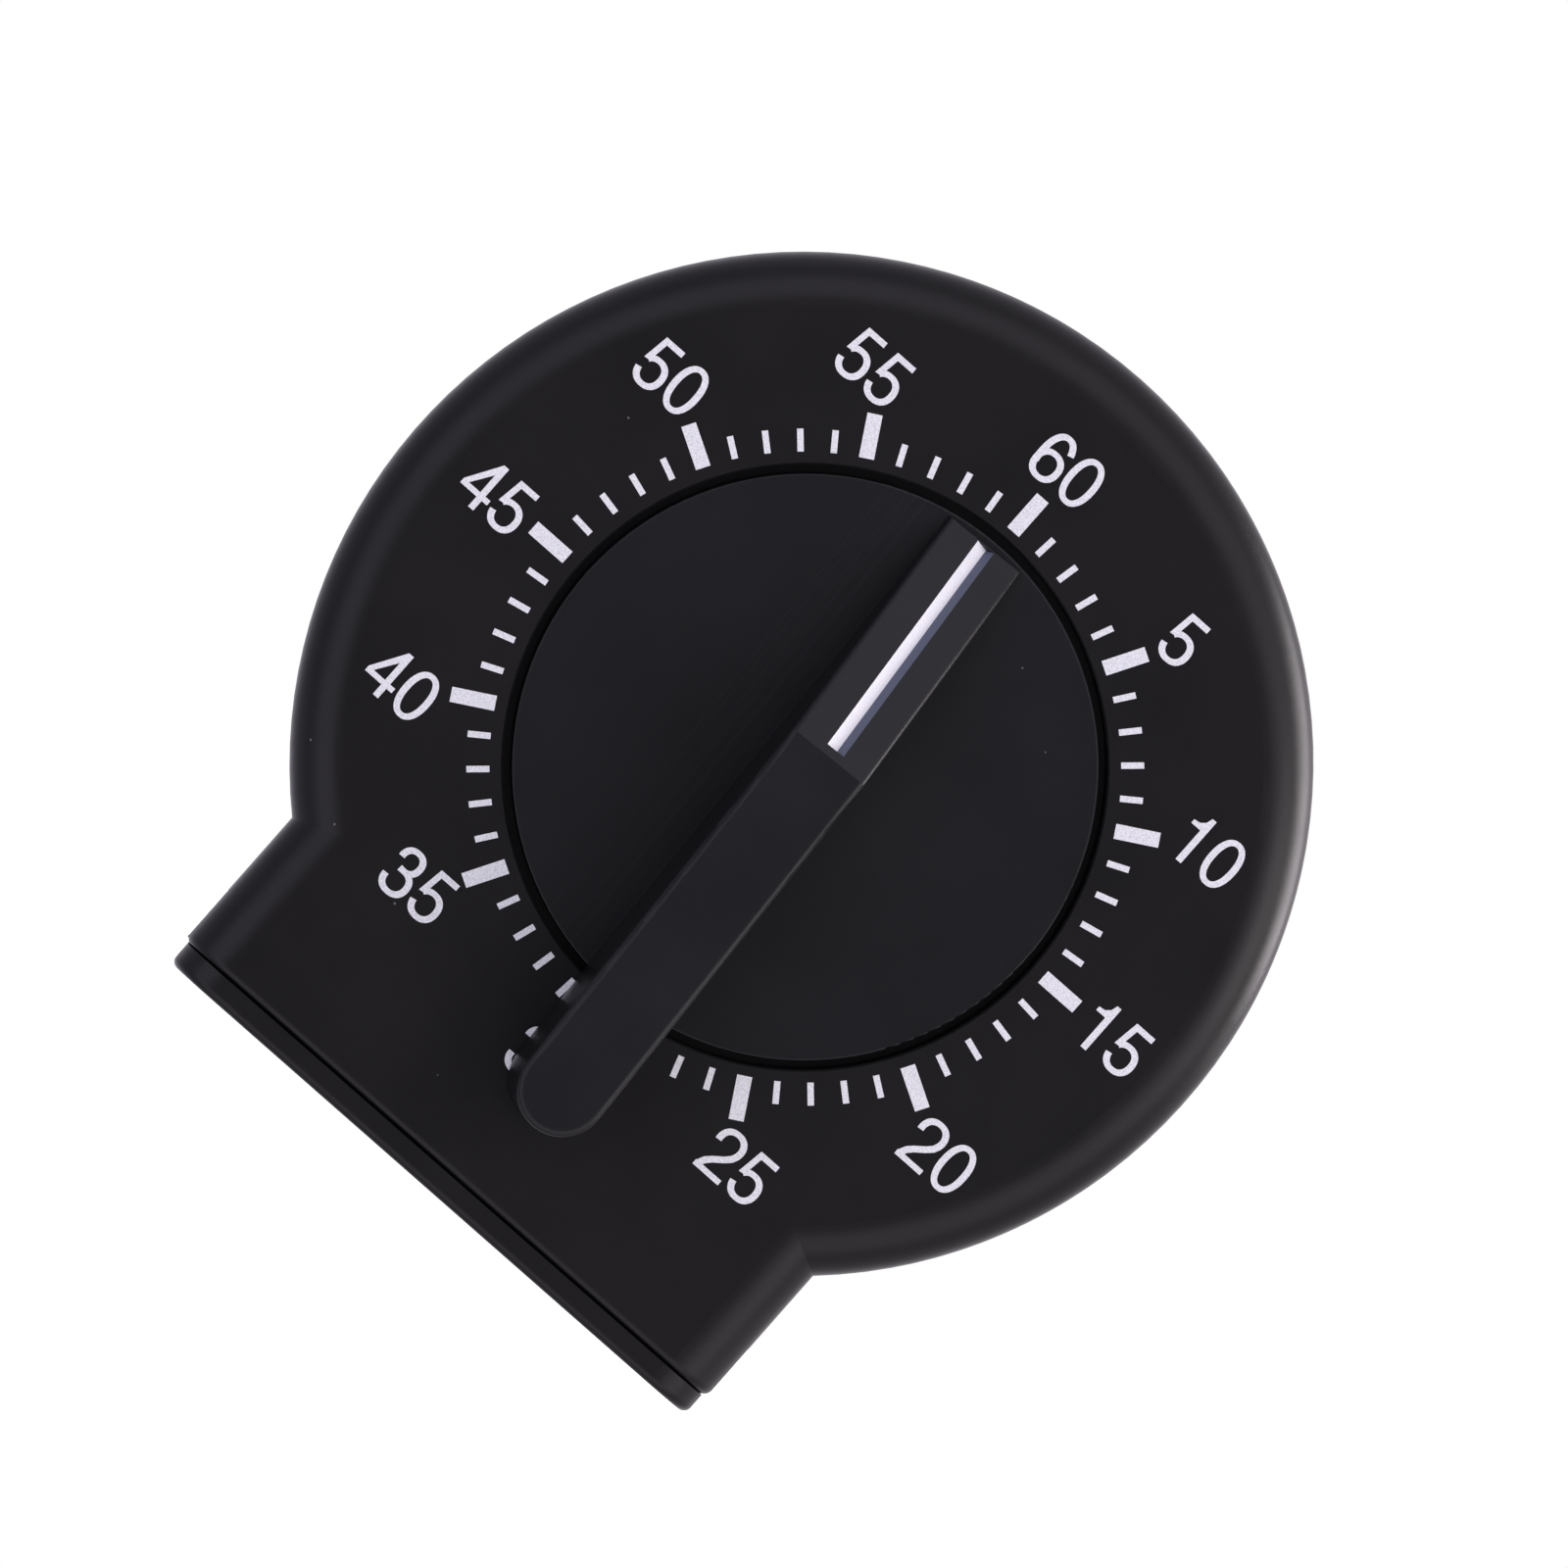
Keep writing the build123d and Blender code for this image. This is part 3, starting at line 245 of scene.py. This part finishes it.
def rubber(name):
    """Matt black rubber with a lumpy surface."""
    material, tree, shader = new_material(name)
    place = object_space(tree)
    lumps = noise(tree, place, 0.5 * MM, 4.0, 0.6)
    base = mixed(tree, lumps, (0.018, 0.018, 0.019), (0.04, 0.04, 0.042))
    tree.links.new(base, shader.inputs["Base Color"])
    tree.links.new(ranged(tree, lumps, 0.3, 0.7, 0.75, 0.9), shader.inputs["Roughness"])
    bumped(tree, shader, lumps, 0.03 * MM, 0.7)
    return material


def metal(name, colour, tarnish, roughness, brush_scale):
    """Worked metal: brushed or rolled streaks, tarnish in clouds and uneven polish."""
    material, tree, shader = new_material(name)
    place = object_space(tree)
    streaks = noise(tree, stretched(tree, place, brush_scale), 0.25 * MM, 3.0, 0.65)
    clouds = noise(tree, place, 3.5 * MM, 4.0, 0.6)
    base = mixed(tree, ranged(tree, clouds, 0.45, 0.75, 0.0, 1.0), colour, tarnish)
    tree.links.new(base, shader.inputs["Base Color"])
    shader.inputs["Metallic"].default_value = 1.0
    rough = ranged(tree, streaks, 0.25, 0.75, roughness - 0.08, roughness + 0.12)
    tree.links.new(rough, shader.inputs["Roughness"])
    bumped(tree, shader, streaks, 0.004 * MM, 0.6)
    return material


def natural_nylon(name):
    """Milky undyed nylon that lets a little light in."""
    material, tree, shader = new_material(name)
    place = object_space(tree)
    clouds = noise(tree, place, 2.5 * MM, 3.0)
    base = mixed(tree, clouds, (0.68, 0.66, 0.6), (0.8, 0.78, 0.72))
    tree.links.new(base, shader.inputs["Base Color"])
    tree.links.new(ranged(tree, clouds, 0.3, 0.7, 0.38, 0.5), shader.inputs["Roughness"])
    shader.inputs["Subsurface Weight"].default_value = 0.15
    shader.inputs["Subsurface Scale"].default_value = 0.5 * MM
    bumped(tree, shader, noise(tree, place, 0.2 * MM), 0.01 * MM, 0.4)
    return material


# How metal() stretches its streaks: not at all, along X, or along Z.
EVEN = (1.0, 1.0, 1.0)
ALONG_X = (0.05, 1.0, 1.0)
ALONG_Z = (1.0, 1.0, 0.04)
MATERIALS = {
    "body_plastic": moulded_plastic(
        "body_plastic", (0.0055, 0.0051, 0.0058), (0.0072, 0.0065, 0.0074),
        0.34, 0.14 * MM, 0.012 * MM, 0.03),
    # The knob's plastic carries lighter streaks painted over the grip bar's shadow.
    "knob_plastic": moulded_plastic(
        "knob_plastic", (0.0070, 0.0073, 0.0089), (0.0089, 0.0092, 0.011),
        0.32, 0.11 * MM, 0.009 * MM, 0.025, KNOB_PAINTED_LIGHT_BAND),
    # The inlay's last colour is painted shade for the groove's steeper flank.
    "white_inlay": inlay_paint("white_inlay", (0.84, 0.84, 0.87), (0.74, 0.75, 0.8), (0.085, 0.1, 0.15)),
    "dial_print": printed_ink("dial_print", (0.84, 0.85, 0.87), (0.6, 0.61, 0.64)),
    "foot_rubber": rubber("foot_rubber"),
    "blackened_steel": metal("blackened_steel", (0.05, 0.05, 0.055), (0.09, 0.08, 0.075), 0.42, EVEN),
    "zinc_steel": metal("zinc_steel", (0.62, 0.63, 0.65), (0.5, 0.5, 0.5), 0.3, ALONG_X),
    "spring_steel": metal("spring_steel", (0.16, 0.19, 0.28), (0.24, 0.2, 0.17), 0.25, EVEN),
    "brass": metal("brass", (0.8, 0.58, 0.24), (0.6, 0.4, 0.17), 0.28, ALONG_Z),
    "nylon_cam": natural_nylon("nylon_cam"),
    "bell_steel": metal("bell_steel", (0.72, 0.71, 0.69), (0.62, 0.6, 0.57), 0.14, EVEN),
}

slot_of_node = {part["node"]: part["material_slot"] for part in frame["record"]["subparts"]}
for node, obj in NODES.items():
    obj.data.materials.clear()
    obj.data.materials.append(MATERIALS[slot_of_node[node]])

# ---------------------------------------------------------------- printed scale

PRINT_SUNK = 0.01 * MM
PRINT_PROUD = 0.015 * MM
MINUTES = 60
LABEL_STEP = 5
MINOR_TICK = {"radius": 25.6 * MM, "length": 1.8 * MM, "width": 0.5 * MM}
MAJOR_TICK = {"radius": 26.45 * MM, "length": 3.55 * MM, "width": 1.2 * MM}
NUMERAL_RING = 29.05 * MM
NUMERAL_SPREAD = {1: 1.4 * MM, 2: 2.9 * MM}
NUMERAL_LIFT = 2.1 * MM
PRINT_SCALE = (1.0057, 0.9918)
DIGIT_H = 4.25 * MM
DIGIT_ADVANCE = 0.703
STROKE_V = 0.13
STROKE_H = 0.108
SQUARENESS = 2.25
SHARPEST_MITRE = 0.5


def on_face(x, z, out):
    """A point of the print: right and up of the dial's centre, and out of the face."""
    return Vector((DIAL.x + x * PRINT_SCALE[0], FACE_Y - out, DIAL.z + z * PRINT_SCALE[1]))


def prism(mesh, outline, place):
    """Adds a thin printed patch with the given outline, run counter-clockwise as the dial is read."""
    front = [mesh.verts.new(place(x, z, PRINT_PROUD)) for x, z in outline]
    back = [mesh.verts.new(place(x, z, -PRINT_SUNK)) for x, z in outline]
    count = len(outline)
    mesh.faces.new(front)
    mesh.faces.new(list(reversed(back)))
    for i in range(count):
        j = (i + 1) % count
        mesh.faces.new((front[j], front[i], back[i], back[j]))


def add_piece(name, mesh, material, body):
    """Turns a bmesh into a piece that rides on a CAD body."""
    bmesh.ops.recalc_face_normals(mesh, faces=mesh.faces)
    data = bpy.data.meshes.new(name)
    mesh.to_mesh(data)
    mesh.free()
    obj = bpy.data.objects.new(name, data)
    bpy.context.scene.collection.objects.link(obj)
    data.materials.append(MATERIALS[material])
    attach(obj, body)


def clockwise(angle):
    """The direction of a dial angle: 0 is up and angles run clockwise."""
    return math.sin(angle), math.cos(angle)


def add_ticks(name, minutes, tick):
    """One piece with a tick at each of the given minutes."""
    mesh = bmesh.new()
    for minute in minutes:
        out_x, out_z = clockwise(2 * math.pi * minute / MINUTES)
        inner = tick["radius"] - tick["length"] / 2
        outer = tick["radius"] + tick["length"] / 2
        half = tick["width"] / 2
        outline = [
            (out_x * r + out_z * side * half, out_z * r - out_x * side * half)
            for r, side in ((inner, -1), (inner, 1), (outer, 1), (outer, -1))
        ]
        prism(mesh, outline, on_face)
    add_piece(name, mesh, "dial_print", "case")


add_ticks("minute_ticks", [m for m in range(MINUTES) if m % LABEL_STEP], MINOR_TICK)
add_ticks("five_minute_ticks", range(0, MINUTES, LABEL_STEP), MAJOR_TICK)

# ---------------------------------------------------------------- numerals


def arc(centre, radii, start, end, steps=20):
    """Points on a squared-off ellipse, from one angle to another, in degrees."""
    points = []
    for i in range(steps + 1):
        angle = math.radians(start + (end - start) * i / steps)
        cos, sin = math.cos(angle), math.sin(angle)
        points.append((
            centre[0] + radii[0] * math.copysign(abs(cos) ** (2 / SQUARENESS), cos),
            centre[1] + radii[1] * math.copysign(abs(sin) ** (2 / SQUARENESS), sin),
        ))
    return points


def stroke_outline(path):
    """Left and right sides of a pen stroke along a path, wider where it runs upright."""
    left, right = [], []
    for i, point in enumerate(path):
        before, after = path[max(i - 1, 0)], path[min(i + 1, len(path) - 1)]
        incoming = Vector((point[0] - before[0], point[1] - before[1]))
        outgoing = Vector((after[0] - point[0], after[1] - point[1]))
        incoming = (incoming if incoming.length > 0 else outgoing).normalized()
        outgoing = (outgoing if outgoing.length > 0 else incoming).normalized()
        along = (incoming + outgoing).normalized()
        side = Vector((-along.y, along.x))
        reach = 1 / max(side.dot(Vector((-incoming.y, incoming.x))), SHARPEST_MITRE)
        half = 0.5 * (STROKE_V * abs(along.y) + STROKE_H * (1 - abs(along.y))) * reach
        left.append((point[0] + side.x * half, point[1] + side.y * half))
        right.append((point[0] - side.x * half, point[1] - side.y * half))
    return left, right


def stroke(path):
    """The outline of a pen stroke along a path, as one closed loop."""
    left, right = stroke_outline(path)
    return right + left[::-1]


def ring(centre, radii):
    """A closed stroke as two half outlines that share their ends."""
    outer = (radii[0] + STROKE_V / 2, radii[1] + STROKE_H / 2)
    inner = (radii[0] - STROKE_V / 2, radii[1] - STROKE_H / 2)
    halves = []
    for start in (0, 180):
        halves.append(arc(centre, outer, start, start + 180) + arc(centre, inner, start + 180, start))
    return halves


MID = 0.35
WIDE = 0.245
LOW_BOWL = (MID, 0.315)
LOW_RADII = (WIDE, 0.262)
GLYPHS = {
    "0": ring((MID, 0.5), (WIDE, 0.447)),
    "1": [[
        (0.34, 0.0), (0.47, 0.0), (0.47, 1.0), (0.375, 1.0), (0.335, 0.87),
        (0.25, 0.795), (0.12, 0.775), (0.12, 0.69), (0.34, 0.69),
    ]],
    "2": [
        stroke(arc((MID, 0.70), (WIDE, 0.247), 190, 0, 26) + [
            (0.585, 0.63), (0.54, 0.53), (0.44, 0.43), (0.27, 0.30), (0.17, 0.20), (0.115, 0.09),
        ]),
        [(0.04, 0.0), (0.66, 0.0), (0.66, 0.108), (0.04, 0.108)],
    ],
    "3": [
        stroke(arc((MID - 0.01, 0.735), (WIDE - 0.035, 0.212), 185, -90, 32) + [(0.24, 0.523)]),
        stroke([(0.24, 0.535)] + arc((MID, 0.288), (WIDE, 0.235), 90, -182, 36)),
    ],
    "4": [
        [(0.43, 0.0), (0.555, 0.0), (0.555, 1.0), (0.44, 1.0), (0.43, 0.98)],
        [(0.03, 0.235), (0.68, 0.235), (0.68, 0.34), (0.03, 0.34)],
        [(0.03, 0.34), (0.145, 0.33), (0.50, 0.86), (0.50, 1.0), (0.44, 1.0)],
    ],
    "5": [
        stroke(arc(LOW_BOWL, LOW_RADII, 142, -172, 36)),
        [(0.145, 0.885), (0.60, 0.885), (0.60, 1.0), (0.155, 1.0)],
        [(0.07, 0.46), (0.19, 0.475), (0.255, 0.90), (0.235, 1.0), (0.155, 1.0)],
    ],
    "6": ring((MID + 0.005, 0.31), (WIDE, 0.257)) + [
        stroke(arc((MID + 0.01, 0.475), (WIDE + 0.005, 0.472), 28, 205, 36)),
    ],
}


def glyph_mesh(character):
    """One digit in the XZ plane, its strokes joined into a single closed patch."""
    parts = []
    for number, outline in enumerate(GLYPHS[character]):
        mesh = bmesh.new()
        prism(mesh, outline, lambda x, z, out: Vector((x * DIGIT_H, -out, z * DIGIT_H)))
        bmesh.ops.recalc_face_normals(mesh, faces=mesh.faces)
        bmesh.ops.triangulate(mesh, faces=[f for f in mesh.faces if len(f.verts) > 4])
        data = bpy.data.meshes.new(f"glyph_{character}_{number}")
        mesh.to_mesh(data)
        mesh.free()
        parts.append(bpy.data.objects.new(data.name, data))
        bpy.context.scene.collection.objects.link(parts[-1])
    for other in parts[1:]:
        union = parts[0].modifiers.new("union", "BOOLEAN")
        union.operation = "UNION"
        union.solver = "EXACT"
        union.object = other
    depsgraph = bpy.context.evaluated_depsgraph_get()
    joined = bpy.data.meshes.new_from_object(parts[0].evaluated_get(depsgraph))
    for part in parts:
        bpy.data.objects.remove(part)
    return joined


def signed_root(value):
    """The square root of a number's size, with the number's sign."""
    return math.copysign(math.sqrt(abs(value)), value)


def label_centre(minute, digits):
    """Where a label sits, so that its box keeps an even gap from the ticks."""
    right, up = clockwise(2 * math.pi * minute / MINUTES)
    x = right * NUMERAL_RING + signed_root(right) * NUMERAL_SPREAD[digits]
    return on_face(x, up * NUMERAL_RING + signed_root(up) * NUMERAL_LIFT, 0)


def add_numerals():
    """All twelve labels as one piece, upright round the dial."""
    glyphs = {character: glyph_mesh(character) for character in GLYPHS}
    mesh = bmesh.new()
    for label in range(LABEL_STEP, MINUTES + 1, LABEL_STEP):
        text = str(label)
        centre = label_centre(label, len(text))
        for place, character in enumerate(text):
            shift = (place - len(text) / 2) * DIGIT_ADVANCE * DIGIT_H
            start = len(mesh.verts)
            mesh.from_mesh(glyphs[character])
            mesh.verts.ensure_lookup_table()
            corner = centre + Vector((shift, 0, -DIGIT_H / 2))
            bmesh.ops.translate(mesh, verts=mesh.verts[start:], vec=corner)
    add_piece("scale_numerals", mesh, "dial_print", "case")


add_numerals()

# ---------------------------------------------------------------- floor, light and camera

FLOOR_RADIUS = 0.4
FLOOR_SIDES = 96
FLOOR_CLOUD = 0.2
FLOOR_GLOW = 0.75


def add_floor():
    """A pale glowing disc that shows to the camera, but not in reflections or bounced light."""
    mesh = bmesh.new()
    mesh.faces.new([
        mesh.verts.new((FLOOR_RADIUS * math.cos(angle), FLOOR_RADIUS * math.sin(angle), 0))
        for angle in (2 * math.pi * i / FLOOR_SIDES for i in range(FLOOR_SIDES))
    ])
    data = bpy.data.meshes.new("floor")
    mesh.to_mesh(data)
    mesh.free()
    floor = bpy.data.objects.new("floor", data)
    bpy.context.scene.collection.objects.link(floor)
    material, tree, shader = new_material("floor_paint")
    clouds = noise(tree, object_space(tree), FLOOR_CLOUD, 2.0)
    base = mixed(tree, clouds, (0.86, 0.86, 0.86), (0.9, 0.9, 0.9))
    tree.links.new(base, shader.inputs["Base Color"])
    shader.inputs["Roughness"].default_value = 0.9
    shader.inputs["Specular IOR Level"].default_value = 0.0
    shader.inputs["Emission Color"].default_value = (1.0, 1.0, 1.0, 1.0)
    shader.inputs["Emission Strength"].default_value = FLOOR_GLOW
    data.materials.append(material)
    floor.visible_glossy = False
    floor.visible_diffuse = False


add_floor()


def add_softbox(name, azimuth, height, distance, size, watts, colour):
    """An area light aimed at the dial, its height above it. Azimuth 0 is in front, 90 on its right."""
    light = bpy.data.lights.new(name, "AREA")
    light.shape = "RECTANGLE"
    light.size, light.size_y = size
    light.energy = watts
    light.color = colour
    obj = bpy.data.objects.new(name, light)
    bpy.context.scene.collection.objects.link(obj)
    angle = math.radians(azimuth)
    obj.location = DIAL + Vector((math.sin(angle) * distance, -math.cos(angle) * distance, height))
    obj.rotation_mode = "QUATERNION"
    obj.rotation_quaternion = (DIAL - obj.location).to_track_quat("-Z", "Y")
    obj.visible_camera = False


add_softbox("rim", 110, 0.58, 0.95, (0.7, 0.8), 12.0, (1.0, 0.94, 0.97))
add_softbox("key", 60, 0.4, 1.2, (0.7, 0.7), 3.0, (1.0, 0.97, 0.96))

# The room's brightness by the angle from the dial's own direction, in degrees.
ROOM_GLOW = (
    (0, 0.3), (18, 0.35), (32, 1.45), (60, 1.45), (78, 0.5), (100, 0.6), (125, 0.6), (180, 1.2),
)
ROOM_LEFT = (0.74, 0.72, 0.86)
ROOM_RIGHT = (1.0, 0.93, 0.98)


def add_world():
    """A room whose glow changes with direction, seen as plain white by the camera."""
    world = bpy.data.worlds.new("studio")
    world.use_nodes = True
    bpy.context.scene.world = world
    sky = world.node_tree
    sky.nodes.clear()
    direction = sky.nodes.new("ShaderNodeSeparateXYZ")
    sky.links.new(sky.nodes.new("ShaderNodeTexCoord").outputs["Generated"], direction.inputs[0])
    glow = sky.nodes.new("ShaderNodeValToRGB")
    sky.links.new(ranged(sky, direction.outputs["Y"], -1.0, 1.0, 0.0, 1.0), glow.inputs["Fac"])
    stops = glow.color_ramp.elements
    for index, (angle, level) in enumerate(ROOM_GLOW):
        place = (1 - math.cos(math.radians(angle))) / 2
        stop = stops[index] if index < 2 else stops.new(place)
        stop.position = place
        stop.color = (level, level, level, 1.0)
    side = ranged(sky, direction.outputs["X"], -1.0, 1.0, 0.0, 1.0)
    backdrop = sky.nodes.new("ShaderNodeBackground")
    backdrop.inputs["Color"].default_value = (1.0, 1.0, 1.0, 1.0)
    room = sky.nodes.new("ShaderNodeBackground")
    sky.links.new(mixed(sky, side, ROOM_LEFT, ROOM_RIGHT), room.inputs["Color"])
    sky.links.new(glow.outputs["Color"], room.inputs["Strength"])
    seen = sky.nodes.new("ShaderNodeLightPath")
    either = sky.nodes.new("ShaderNodeMixShader")
    sky_out = sky.nodes.new("ShaderNodeOutputWorld")
    sky.links.new(seen.outputs["Is Camera Ray"], either.inputs["Fac"])
    sky.links.new(room.outputs["Background"], either.inputs[1])
    sky.links.new(backdrop.outputs["Background"], either.inputs[2])
    sky.links.new(either.outputs["Shader"], sky_out.inputs["Surface"])


add_world()

VIEW_AZIMUTH = 4.8
VIEW_DISTANCE = 2.0
VIEW_ROLL = 41.4
FRAME_WIDTH = 122.3 * MM
DIAL_OFFSET = (1.68 * MM, 1.3 * MM)
SENSOR = 36.0
CLIP_END = 20.0


def add_camera():
    """A long lens level with the dial, a little to its left and rolled, as the timer is shown."""
    azimuth = math.radians(VIEW_AZIMUTH)
    eye = DIAL - Vector((math.sin(azimuth), math.cos(azimuth), 0)) * VIEW_DISTANCE
    forward = (DIAL - eye).normalized()
    level_right = forward.cross(Vector((0, 0, 1))).normalized()
    level_up = level_right.cross(forward)
    roll = math.radians(VIEW_ROLL)
    right = level_right * math.cos(roll) + level_up * math.sin(roll)
    up = level_up * math.cos(roll) - level_right * math.sin(roll)
    eye -= right * DIAL_OFFSET[0] + up * DIAL_OFFSET[1]
    camera = bpy.data.cameras.new("camera")
    camera.sensor_width = SENSOR
    camera.lens = SENSOR * VIEW_DISTANCE / FRAME_WIDTH
    camera.clip_end = CLIP_END
    obj = bpy.data.objects.new("camera", camera)
    bpy.context.scene.collection.objects.link(obj)
    obj.matrix_world = Matrix((
        (right.x, up.x, -forward.x, eye.x), (right.y, up.y, -forward.y, eye.y),
        (right.z, up.z, -forward.z, eye.z), (0, 0, 0, 1),
    ))
    bpy.context.scene.camera = obj


add_camera()
bpy.context.scene.view_settings.view_transform = "Standard"
